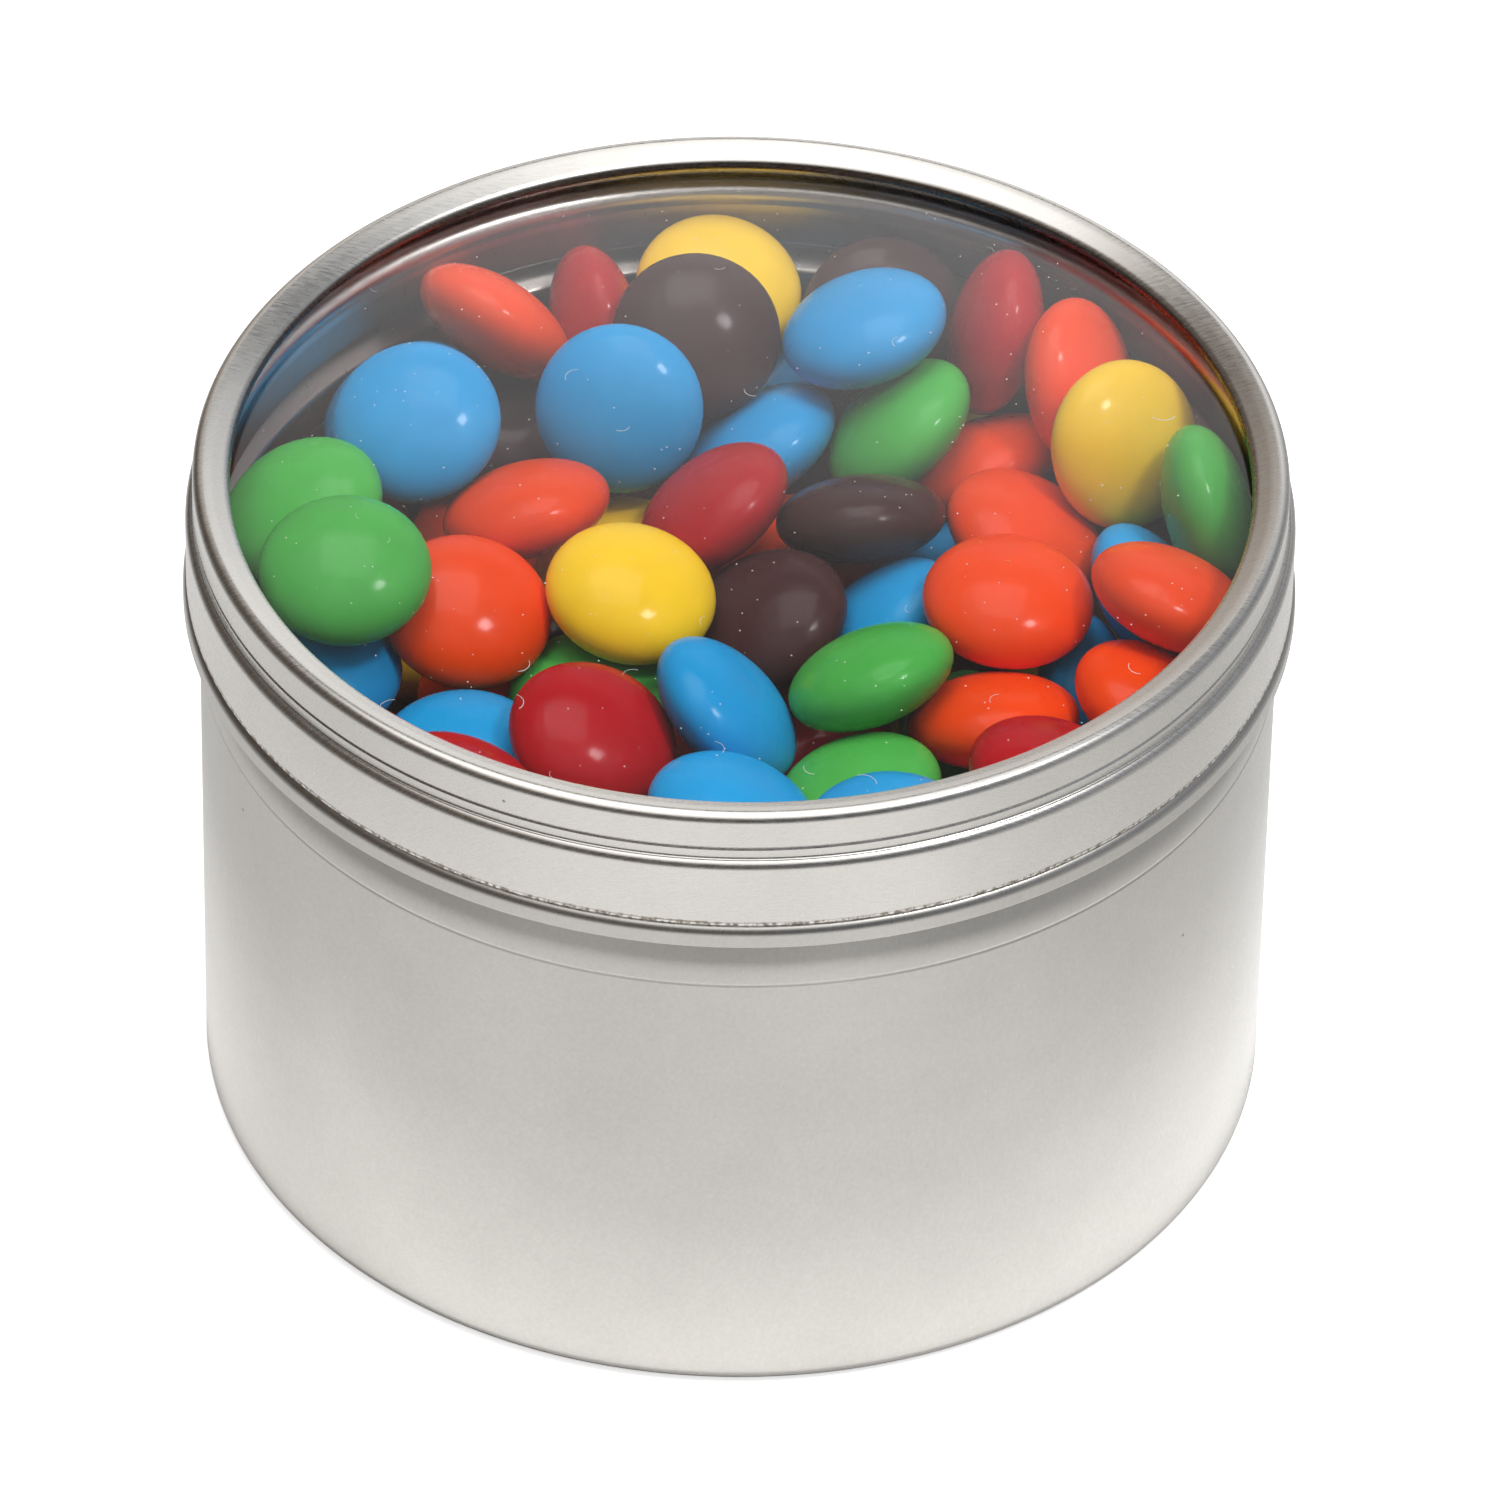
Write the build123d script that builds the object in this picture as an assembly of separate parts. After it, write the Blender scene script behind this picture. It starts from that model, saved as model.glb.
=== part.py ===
from build123d import *
import math
import os
import numpy as np

# A round tin with a slip lid that has a clear window, filled with sugar-shelled sweets.
# Millimetres, +Z up, origin at the centre of the foot, the photographed front towards -Y.
# The sheet-metal pieces are profiles turned about Z; small rounds are turned as short cones.

# Tin body, drawn from one blank
sheet = 0.3
body_radius = 42.0
mouth_height = 53.15
foot_round = 1.2
foot_border_width = 4.4
foot_panel_rise = 0.8
foot_step_width = 0.8
neck_step = 0.73
neck_height = 5.85
bead_height = 2.4
bead_reach = 1.25
bead_slope_share = 0.75
bead_crown_share = 0.6
bead_neck_rise = 0.8
curl_radius = 0.75

# Slip lid ring, spun and rolled: its skirt slides over the curl and stops above the bead
curl_clearance = 0.23
bead_clearance = 0.3
shoulder_above_mouth = 0.71
shoulder_drop = 0.95
shoulder_width = 0.6
crease_rise = 0.82
crease_depth = 0.25
crease_half_width = 0.3
rim_round = 0.6
flange_width = 2.3
flange_dish = 0.55
lip_drop = 1.72

# Clear window, a flat disc cut from sheet, held loosely between the lip and the crease
window_sheet = 0.35
window_clearance = 0.1

# Sweets
sweet_diameter = 13.4
sweet_thickness = 6.9
sweet_gap = 0.12
surface_below_mouth = 8.75
fill_below_mouth = 2.75

# Number of straight cones that stand in for each round
foot_round_steps = 2
rim_round_steps = 2
curl_steps = 3

# Shares of a sweet's own radius at which its flat bands meet, and the sides of its outline
shell_band_share = 0.62
shown_sides = 7
hidden_sides = 6

# The sweets that show through the window: colour, place as shares of the tin's inside radius
# (x to the right, y away from the front), lift above the mean surface as a share of a sweet's
# thickness, then tilt and heading of the sweet's face in degrees (0 faces +X, 90 the back).
colours = ("red", "orange", "yellow", "green", "blue", "brown")
shown_shares = (
    ("orange", -0.47, 0.66, 0.80, 50, 55),
    ("blue", -0.70, 0.43, 0.65, 33, 185),
    ("blue", -0.61, 0.33, 0.65, 30, 270),
    ("red", -0.80, 0.25, 0.25, 5, 190),
    ("green", -0.85, 0.14, 0.45, 25, 170),
    ("green", -0.73, -0.02, 0.65, 15, 270),
    ("blue", -0.77, -0.24, 0.30, 17, 315),
    ("orange", -0.50, -0.11, 0.30, 23, 295),
    ("blue", -0.50, -0.48, 0.15, 5, 190),
    ("red", -0.49, -0.60, 0.20, 18, 30),
    ("red", -0.27, -0.49, 0.30, 20, 305),
    ("yellow", -0.22, -0.06, 0.35, 20, 295),
    ("green", -0.27, -0.17, -0.45, 5, 190),
    ("blue", -0.02, -0.38, 0.20, 38, 10),
    ("blue", -0.00, -0.67, 0.15, 16, 10),
    ("brown", 0.07, -0.05, 0.00, 24, 215),
    ("green", 0.25, -0.29, 0.20, 28, 150),
    ("green", 0.24, -0.54, 0.00, 12, 185),
    ("blue", 0.28, -0.72, 0.30, 5, 100),
    ("blue", 0.25, 0.04, -0.30, 48, 170),
    ("blue", 0.40, 0.28, -0.60, 5, 190),
    ("brown", 0.24, 0.24, 0.30, 25, 105),
    ("green", 0.29, 0.48, 0.20, 35, 175),
    ("orange", 0.48, 0.45, 0.00, 40, 150),
    ("yellow", 0.70, 0.42, 0.42, 40, 285),
    ("green", 0.84, 0.28, 0.60, 75, 190),
    ("blue", 0.86, 0.09, 0.20, 45, 350),
    ("orange", 0.80, -0.09, 0.45, 30, 40),
    ("orange", 0.79, -0.32, 0.15, 26, 15),
    ("blue", 0.65, -0.16, -0.45, 69, 350),
    ("orange", 0.49, -0.10, 0.45, 8, 320),
    ("orange", 0.59, 0.12, 0.55, 12, 20),
    ("orange", 0.49, -0.33, 0.00, 25, 95),
    ("red", 0.58, -0.54, 0.20, 18, 30),
    ("orange", 0.41, -0.64, -0.10, 5, 190),
    ("red", -0.06, 0.20, 0.30, 36, 175),
    ("yellow", -0.22, 0.22, -0.50, 5, 190),
    ("orange", -0.41, 0.16, 0.95, 22, 125),
    ("blue", -0.22, 0.44, 0.45, 45, 270),
    ("blue", 0.05, 0.46, 0.10, 27, 170),
    ("brown", -0.08, 0.70, 0.50, 42, 285),
    ("yellow", -0.04, 0.78, 0.60, 20, 335),
    ("brown", 0.28, 0.75, 0.55, 58, 270),
    ("blue", 0.23, 0.61, 0.95, 14, 177),
    ("red", 0.50, 0.66, 0.75, 54, 196),
    ("orange", 0.64, 0.53, 0.85, 68, 0),
    ("red", -0.28, 0.70, 0.65, 80, 198),
    ("blue", 0.03, 0.73, -0.10, 5, 190),
    ("brown", 0.18, 0.56, -0.40, 5, 190),
    ("brown", -0.43, 0.62, -0.30, 5, 190),
    ("orange", -0.43, -0.15, -0.65, 5, 190),
    ("orange", 0.09, 0.31, -0.50, 5, 190),
)

# Settling of the upper sweets: counts, an angle and shares of a sweet's radius, no lengths.
# The headspace is clear to the fill height; its half width and back edge are shares of the
# tin's inside radius. Around it the heap may rise to the window, as it is seen to.
headspace_width_share = 0.53
headspace_back_share = 0.05
settle_rounds = 900
calm_share = 0.6
fall_share = 0.004
home_share = 0.1
depth_share = 0.15
sight_angle = 40
turn_share = 0.5
push_share = 0.45
search_steps = 14
search_share = 0.6
cover_share = 1.3
crowded_share = 0.25

# Heights and radii that follow: first the tin, then the lid that is carried by it
inside_radius = body_radius - sheet
foot_panel_radius = body_radius - foot_border_width
lowest_sheet_top = foot_panel_rise + sheet
bead_top = mouth_height - neck_height
bead_bottom = bead_top - bead_height
bead_radius = body_radius + bead_reach
neck_radius = body_radius - neck_step
neck_inside_radius = neck_radius - sheet
curl_centre = (neck_inside_radius + curl_radius, mouth_height - curl_radius)
skirt_foot_height = bead_top + bead_clearance
skirt_radius = curl_centre[0] + curl_radius + curl_clearance + sheet
shoulder_height = mouth_height + shoulder_above_mouth
collar_radius = skirt_radius - shoulder_width
crease_height = shoulder_height + crease_rise
window_foot_height = crease_height + crease_half_width + window_clearance
lip_foot_height = window_foot_height + window_sheet + window_clearance
flange_foot_height = lip_foot_height + lip_drop
lid_height = flange_foot_height + flange_dish
window_opening_radius = collar_radius - flange_width
sweet_radius = sweet_diameter / 2
surface_height = mouth_height - surface_below_mouth
fill_height = mouth_height - fill_below_mouth


def arc_points(centre, radius, first_angle, last_angle, steps):
    """Points of a round from one angle to the other, both ends included."""
    turns = [first_angle + (last_angle - first_angle) * k / steps for k in range(steps + 1)]
    return [(centre[0] + radius * math.cos(math.radians(a)),
             centre[1] + radius * math.sin(math.radians(a))) for a in turns]


def turned(points):
    """The solid swept by a closed outline of (radius, height) points about Z."""
    outline = Polyline([(r, 0, z) for r, z in points], close=True)
    return revolve(make_face(outline), Axis.Z, 360)


def tin_body():
    """Drawn can: stepped foot, rounded corner, stop bead, neck and rolled curl."""
    foot = [(0, foot_panel_rise), (foot_panel_radius, foot_panel_rise),
            (foot_panel_radius + foot_step_width, 0)]
    corner = arc_points((body_radius - foot_round, foot_round), foot_round, -90, 0, foot_round_steps)
    bead_slope = bead_reach * bead_slope_share
    bead = [(body_radius, bead_bottom), (bead_radius, bead_bottom + bead_slope),
            (bead_radius, bead_top - bead_reach * bead_crown_share)]
    neck = [(neck_radius, bead_top + bead_neck_rise)]
    neck_meets_curl = math.degrees(math.acos((neck_radius - curl_centre[0]) / curl_radius))
    curl = arc_points(curl_centre, curl_radius, -neck_meets_curl, 180, curl_steps)
    inside = [(neck_inside_radius, bead_top + bead_neck_rise - sheet),
              (bead_radius - sheet, bead_bottom + bead_slope + sheet),
              (inside_radius, bead_bottom + sheet / 2),
              (inside_radius, foot_round + sheet / 2),
              (body_radius - foot_round, sheet),
              (foot_panel_radius + foot_step_width, sheet),
              (foot_panel_radius, lowest_sheet_top), (0, lowest_sheet_top)]
    return turned(foot + corner + bead + neck + curl + inside)


def lid_ring():
    """Slip lid ring: down-turned lip, dished flange, rounded rim, creased collar and skirt."""
    rim_centre = (collar_radius - rim_round, lid_height - rim_round)
    outside = [(window_opening_radius, lip_foot_height), (window_opening_radius, flange_foot_height)]
    outside += arc_points(rim_centre, rim_round, 90, 0, rim_round_steps)
    outside += crease_points(collar_radius, -1)
    outside += [(collar_radius, shoulder_height), (skirt_radius, shoulder_height - shoulder_drop),
                (skirt_radius, skirt_foot_height)]
    collar_inside = collar_radius - sheet
    skirt_inside = skirt_radius - sheet
    inside = [(skirt_inside, skirt_foot_height),
              (skirt_inside, shoulder_height - shoulder_drop - sheet / 2),
              (collar_inside, shoulder_height - sheet / 2)]
    inside += crease_points(collar_inside, 1)
    inside += [(collar_inside, lid_height - rim_round), (rim_centre[0], lid_height - sheet),
               (window_opening_radius + sheet, flange_foot_height - sheet),
               (window_opening_radius + sheet, lip_foot_height)]
    return turned(outside + inside)


def crease_points(radius, way):
    """The retaining crease in a wall of this radius, walked down (-1) or up (1)."""
    return [(radius, crease_height - way * crease_half_width),
            (radius - crease_depth, crease_height),
            (radius, crease_height + way * crease_half_width)]


def lid_window():
    """Flat clear disc that rests on the crease, below the lip."""
    outer = collar_radius - sheet - window_clearance
    top = window_foot_height + window_sheet
    return turned([(0, top), (outer, top), (outer, window_foot_height), (0, window_foot_height)])


def sweet_ring(sides, radius, height):
    """Corners of a level ring about the sweet's own axis."""
    turns = [2 * math.pi * k / sides for k in range(sides)]
    return [Vector(radius * math.cos(t), radius * math.sin(t), height) for t in turns]


def shown_sweet():
    """A lens with a flat face and a sloping band on each side of its rim."""
    band_radius = sweet_radius * shell_band_share
    band_height = sweet_thickness / 2 * math.sqrt(1 - shell_band_share ** 2)
    rim = sweet_ring(shown_sides, sweet_radius, 0)
    faces = []
    for way in (1, -1):
        band = sweet_ring(shown_sides, band_radius, way * band_height)
        faces += [flat_face(rim[k - 1], rim[k], band[k], band[k - 1]) for k in range(shown_sides)]
        faces.append(flat_face(*band))
    return Solid(Shell(faces))


def hidden_sweet():
    """A lens of two low pyramids, for the sweets that lie out of sight."""
    rim = sweet_ring(hidden_sides, sweet_radius, 0)
    faces = []
    for way in (1, -1):
        tip = Vector(0, 0, way * sweet_thickness / 2)
        faces += [flat_face(rim[k - 1], rim[k], tip) for k in range(hidden_sides)]
    return Solid(Shell(faces))


def flat_face(*corners):
    return Face(Wire.make_polygon(corners, close=True))


def hex_places(level, turn):
    """Flat sweets side by side, centred on a gap between three of them."""
    pitch = sweet_diameter + sweet_gap
    reach = inside_radius - sweet_radius - sweet_gap
    rows = math.ceil(reach / pitch) + 2
    places = []
    for i in range(-rows, rows + 1):
        for j in range(-rows, rows + 1):
            x = pitch * (i + j / 2)
            y = pitch * math.sqrt(3) / 2 * (j + turn * 2 / 3)
            if math.hypot(x, y) <= reach:
                places.append((x, y, level))
    return places


def core_places():
    """Close-packed flat layers that fill the tin below the sweets that show."""
    layer_pitch = (sweet_thickness + sweet_gap) * math.sqrt(2 / 3)
    first = lowest_sheet_top + sweet_gap + sweet_thickness / 2
    top = surface_height - 2 * layer_pitch
    layers = int((top - first) / layer_pitch) + 1
    return [hex_places(first + layer_pitch * k, 1 if k % 2 else -1) for k in range(layers)]


def facing(tilt, heading):
    """Unit vector square to a sweet's face."""
    return (math.sin(math.radians(tilt)) * math.cos(math.radians(heading)),
            math.sin(math.radians(tilt)) * math.sin(math.radians(heading)),
            math.cos(math.radians(tilt)))


def reach_along(normals, ways):
    """How far each sweet reaches from its centre along a direction, and at which point."""
    flatness = 1 - (sweet_thickness / sweet_diameter) ** 2
    along = (normals * ways).sum(1, keepdims=True)
    far = np.sqrt(1 - flatness * along ** 2)
    return far[:, 0], (ways - flatness * along * normals) / far


def gaps_between(places, normals, first, second):
    """Widest gap found between pairs of sweets, its direction and the two nearest points."""
    apart = places[second] - places[first]
    ways = apart / np.linalg.norm(apart, axis=1, keepdims=True)
    for _ in range(search_steps):
        arm_a = reach_along(normals[first], ways)[1]
        arm_b = reach_along(normals[second], ways)[1]
        slope = apart - arm_a - arm_b
        slope -= (slope * ways).sum(1, keepdims=True) * ways
        ways = ways + search_share * slope
        ways /= np.linalg.norm(ways, axis=1, keepdims=True)
    far_a, arm_a = reach_along(normals[first], ways)
    far_b, arm_b = reach_along(normals[second], ways)
    return (apart * ways).sum(1) - far_a - far_b, ways, arm_a, arm_b


def settle(places, normals, homes, bed):
    """Press the upper sweets apart until none overlap; the bed of flat ones stays put.

    Lengths here are counted in sweet radii. A sweet with a home is drawn back to the place
    and tilt it is seen in, mostly across the line of sight; the others fall and give way.
    """
    count = len(places)
    gap = sweet_gap / sweet_radius
    wall = neck_inside_radius / sweet_radius - gap
    under_window = window_foot_height / sweet_radius - gap
    free_width = headspace_width_share * inside_radius / sweet_radius + 1
    free_back = headspace_back_share * inside_radius / sweet_radius + 1
    upright = np.array([[0.0, 0.0, 1.0]])
    sight = np.array([0.0, -math.cos(math.radians(sight_angle)), math.sin(math.radians(sight_angle))])
    spots = np.vstack([places, bed])
    faces = np.vstack([normals, np.tile((0.0, 0.0, 1.0), (len(bed), 1))])
    start, start_faces = spots.copy(), faces.copy()
    drawn = np.zeros((len(spots), 1))
    drawn[:homes] = home_share
    first, second = np.triu_indices(len(spots), 1)
    moving = first < count
    first, second = first[moving], second[moving]
    for step in range(settle_rounds):
        fade = 1 - step / (settle_rounds * calm_share)
        if fade > 0:
            offset = start - spots
            along = (offset @ sight)[:, None] * sight
            spots += drawn * fade * (offset - along + depth_share * along)
            faces += drawn * fade * (start_faces - faces)
            spots[homes:count, 2] -= fall_share
        near = np.linalg.norm(spots[second] - spots[first], axis=1) < 2 + gap
        a, b = first[near], second[near]
        room, ways, arm_a, arm_b = gaps_between(spots, faces, a, b)
        need = np.clip(gap - room, 0, None)[:, None]
        shift, turn = np.zeros_like(spots), np.zeros_like(spots)
        np.add.at(shift, a, -ways * need * push_share)
        np.add.at(shift, b, ways * need * push_share)
        np.add.at(turn, a, np.cross(arm_a, -ways) * need * turn_share)
        np.add.at(turn, b, np.cross(-arm_b, ways) * need * turn_share)
        out = spots * (1, 1, 0)
        distance = np.linalg.norm(out, axis=1, keepdims=True) + 1e-9
        out = out / distance
        far, arm = reach_along(faces, out)
        over = np.clip(distance[:, 0] + far - wall, 0, None)[:, None]
        shift -= out * over
        turn += np.cross(arm, -out) * over * turn_share
        far, arm = reach_along(faces, upright)
        free = (abs(spots[:, 0]) < free_width) & (spots[:, 1] < free_back)
        ceiling = np.where(free, fill_height / sweet_radius, under_window)
        over = np.clip(spots[:, 2] + far - ceiling, 0, None)[:, None]
        shift -= upright * over
        turn += np.cross(arm, -upright) * over * turn_share
        shift[count:], turn[count:] = 0, 0
        spots += shift
        faces += np.cross(turn, faces)
        faces /= np.linalg.norm(faces, axis=1, keepdims=True)
    room = gaps_between(spots, faces, first, second)[0]
    crowded = {int(max(a, b)) if max(a, b) < count else int(a)
               for a, b, r in zip(first, second, room) if r < gap * crowded_share}
    kept = [k for k in range(count) if k not in crowded]
    return spots[:count], faces[:count], kept


def upper_places(bed_level):
    """The sweets that show, and flat ones that fill the room beside and below them."""
    places = [(x * inside_radius, y * inside_radius, surface_height + lift * sweet_thickness)
              for _, x, y, lift, _, _ in shown_shares]
    normals = [facing(tilt, heading) for *_, tilt, heading in shown_shares]
    layer_pitch = (bed_level - surface_height) / 2
    for level, turn in ((surface_height + layer_pitch, 1), (surface_height, -1)):
        for place in hex_places(level, turn):
            nearest = min(math.dist(place, other) for other in places)
            if nearest > sweet_radius * cover_share:
                places.append(place)
                normals.append((0.0, 0.0, 1.0))
    return places, normals


def mixed_colour(k):
    """A colour for the k-th sweet out of sight, so that neighbours differ."""
    stride = len(colours) - 1
    return colours[(k * stride + k // (len(colours) + 1)) % len(colours)]


def all_sweets():
    """Sweets sorted by colour: faceted lenses, finer where they show."""
    piles = {colour: [] for colour in colours}
    core = core_places()
    hidden = hidden_sweet()
    for k, place in enumerate(spot for layer in core for spot in layer):
        colour = mixed_colour(k)
        piles[colour].append(hidden.moved(Location(place)))
    bed = np.array(core[-1]) / sweet_radius
    places, normals = upper_places(core[-1][0][2])
    spots, faces, kept = settle(np.array(places) / sweet_radius, np.array(normals),
                                len(shown_shares), bed)
    lens = shown_sweet()
    for k in kept:
        shown = k < len(shown_shares)
        colour = shown_shares[k][0] if shown else mixed_colour(k)
        centre = Vector(*(spots[k] * sweet_radius))
        pose = Plane(origin=centre, z_dir=Vector(*faces[k])).location
        piles[colour].append((lens if shown else hidden).moved(pose))
    print("sweets:", sum(len(pile) for pile in piles.values()), "upper kept", len(kept),
          "of", len(places), "highest", round(max(spots[kept, 2]) * sweet_radius, 2))
    return piles


def write(name, shape):
    shape.label = name
    export_step(shape, os.path.join("parts", name + ".step"))


os.makedirs("parts", exist_ok=True)
write("tin_body", tin_body())
write("lid_ring", lid_ring())
write("lid_window", lid_window())
for colour, pile in all_sweets().items():
    write("sweets_" + colour, Compound(pile))
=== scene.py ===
import math
import bmesh
import bpy
import numpy as np
from mathutils import Matrix, Vector


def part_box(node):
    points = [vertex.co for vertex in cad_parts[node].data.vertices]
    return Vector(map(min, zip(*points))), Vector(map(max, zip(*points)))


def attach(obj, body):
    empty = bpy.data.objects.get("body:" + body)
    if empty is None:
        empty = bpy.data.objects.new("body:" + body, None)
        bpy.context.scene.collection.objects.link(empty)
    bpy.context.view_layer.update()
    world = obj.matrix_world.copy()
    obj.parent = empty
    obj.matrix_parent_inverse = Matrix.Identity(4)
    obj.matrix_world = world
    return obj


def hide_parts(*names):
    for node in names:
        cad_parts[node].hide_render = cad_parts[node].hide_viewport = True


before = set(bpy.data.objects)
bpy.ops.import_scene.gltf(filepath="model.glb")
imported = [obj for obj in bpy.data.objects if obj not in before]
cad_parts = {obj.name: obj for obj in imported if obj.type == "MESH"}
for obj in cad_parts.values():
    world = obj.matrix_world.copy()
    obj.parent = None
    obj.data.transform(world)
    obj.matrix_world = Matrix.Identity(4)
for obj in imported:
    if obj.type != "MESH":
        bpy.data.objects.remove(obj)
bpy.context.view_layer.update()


# Tin body: a can drawn from one round blank of tinplate. The press leaves a stepped foot, a
# rounded corner, a faint swage line, a slight waist, a stop bead for the lid and a neck, and
# the cut edge is rolled outward into a curl. Inside, below the curl, the wall's colour is
# painted darker, as painted shade inside the tin.
mm = 0.001
sheet = 0.3 * mm
bead_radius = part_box("tin_body")[1].x
mouth_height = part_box("tin_body")[1].z
body_radius = bead_radius - 1.25 * mm
neck_radius = body_radius - 0.73 * mm
curl_radius = 0.95 * mm
curl_rise = 0.25 * mm
curl_inset = 0.65 * mm
bead_top = mouth_height - 5.85 * mm
swage_height = bead_top - 6.5 * mm
swage_depth = 0.05 * mm
base_rise = 0.8 * mm
waist_depth = 0.62 * mm
turned_sides = 288


def rounded(path, step=9, guard=0.08 * mm):
    """Points along a path of (radius, height, corner round) with every corner an arc.

    From point to point an arc turns by a step of degrees at most and runs for three guards
    at most. Long straight stretches get one more point near each end, so that smooth shading
    keeps them straight.
    """
    points = [Vector(path[0][:2])]
    for before, here, after in zip(path, path[1:], path[2:]):
        corner, bend = Vector(here[:2]), here[2]
        to_before = (Vector(before[:2]) - corner).normalized()
        to_after = (Vector(after[:2]) - corner).normalized()
        turn = math.pi - to_before.angle(to_after)
        reach = bend * math.tan(turn / 2)
        first, last = corner + to_before * reach, corner + to_after * reach
        count = max(2, math.ceil(math.degrees(turn) / step), math.ceil(bend * turn / (3 * guard)))
        centre = corner + (to_before + to_after).normalized() * math.hypot(bend, reach)
        for k in range(count + 1):
            spoke = (first - centre).lerp(last - centre, k / count).normalized()
            points.append(centre + spoke * bend)
    points.append(Vector(path[-1][:2]))
    guarded = []
    for here, after in zip(points, points[1:]):
        guarded.append(here)
        if (after - here).length > 6 * guard:
            way = (after - here).normalized() * guard
            guarded += [here + way, after - way]
    return guarded + [points[-1]]


def rolled(path, centre, radius, first, last, steps):
    """The path with an arc about a centre added, angles in degrees."""
    for k in range(steps + 1):
        angle = math.radians(first + (last - first) * k / steps)
        path.append(Vector((centre[0] + radius * math.cos(angle),
                            centre[1] + radius * math.sin(angle))))
    return path


def walled(path, thickness):
    """The closed outline of a sheet: its seen face is the path, its body lies to the left.

    Each point is (radius, height, place on the flat blank that the sheet was drawn from).
    """
    seen, other = [], []
    place = path[0].x
    for k, point in enumerate(path):
        before, after = path[max(k - 1, 0)], path[min(k + 1, len(path) - 1)]
        place += (point - before).length
        along = (after - before).normalized()
        inner = point + Vector((-along.y, along.x)) * thickness
        seen.append((point.x, point.y, place))
        other.append((0.0 if point.x == 0 else inner.x, inner.y, place))
    return seen + other[::-1]


def turned(name, outline, sides=turned_sides):
    """A mesh object turned about Z from a closed outline, mapped as its flat blank was."""
    bm = bmesh.new()
    blank = bm.loops.layers.uv.new("blank")
    turns = [2 * math.pi * k / sides for k in range(sides)]
    rings = []
    for radius, height, _ in outline:
        if radius < 1e-7:
            rings.append([bm.verts.new((0, 0, height))] * sides)
        else:
            rings.append([bm.verts.new((radius * math.cos(a), radius * math.sin(a), height))
                          for a in turns])
    for k, lower in enumerate(rings):
        upper = rings[(k + 1) % len(rings)]
        place, next_place = outline[k][2], outline[(k + 1) % len(rings)][2]
        if lower[0] is lower[1] and upper[0] is upper[1]:
            continue
        for side in range(sides):
            after = (side + 1) % sides
            loop = [(lower[side], side, place), (lower[after], after, place),
                    (upper[after], after, next_place), (upper[side], side, next_place)]
            if lower[0] is lower[1]:
                loop.pop(0)
            if upper[0] is upper[1]:
                loop.pop()
            face = bm.faces.new([corner[0] for corner in loop])
            face.smooth = True
            for face_loop, (_, turn, reach) in zip(face.loops, loop):
                face_loop[blank].uv = (reach * math.cos(turns[turn]), reach * math.sin(turns[turn]))
    bmesh.ops.recalc_face_normals(bm, faces=bm.faces)
    mesh = bpy.data.meshes.new(name)
    bm.to_mesh(mesh)
    bm.free()
    piece = bpy.data.objects.new(name, mesh)
    bpy.context.scene.collection.objects.link(piece)
    return piece


def adder(tree):
    """A function that adds a node to a tree, with values or links for its inputs."""

    def add(kind, inputs=None, **settings):
        node = tree.nodes.new(kind)
        for key, value in settings.items():
            setattr(node, key, value)
        for key, value in (inputs or {}).items():
            if isinstance(value, bpy.types.NodeSocket):
                tree.links.new(value, node.inputs[key])
            else:
                node.inputs[key].default_value = value
        return node

    return add


def finish_nodes(name):
    """A new material with its principled shader, and a function that adds a node to it."""
    finish = bpy.data.materials.new(name)
    finish.use_nodes = True
    tree = finish.node_tree
    return finish, tree, tree.nodes["Principled BSDF"], adder(tree)


def between(add, value, low, high, to_low, to_high):
    """A value from one range carried to another, held at its ends."""
    return add("ShaderNodeMapRange", {"Value": value, "From Min": low, "From Max": high,
                                      "To Min": to_low, "To Max": to_high}).outputs[0]


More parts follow.
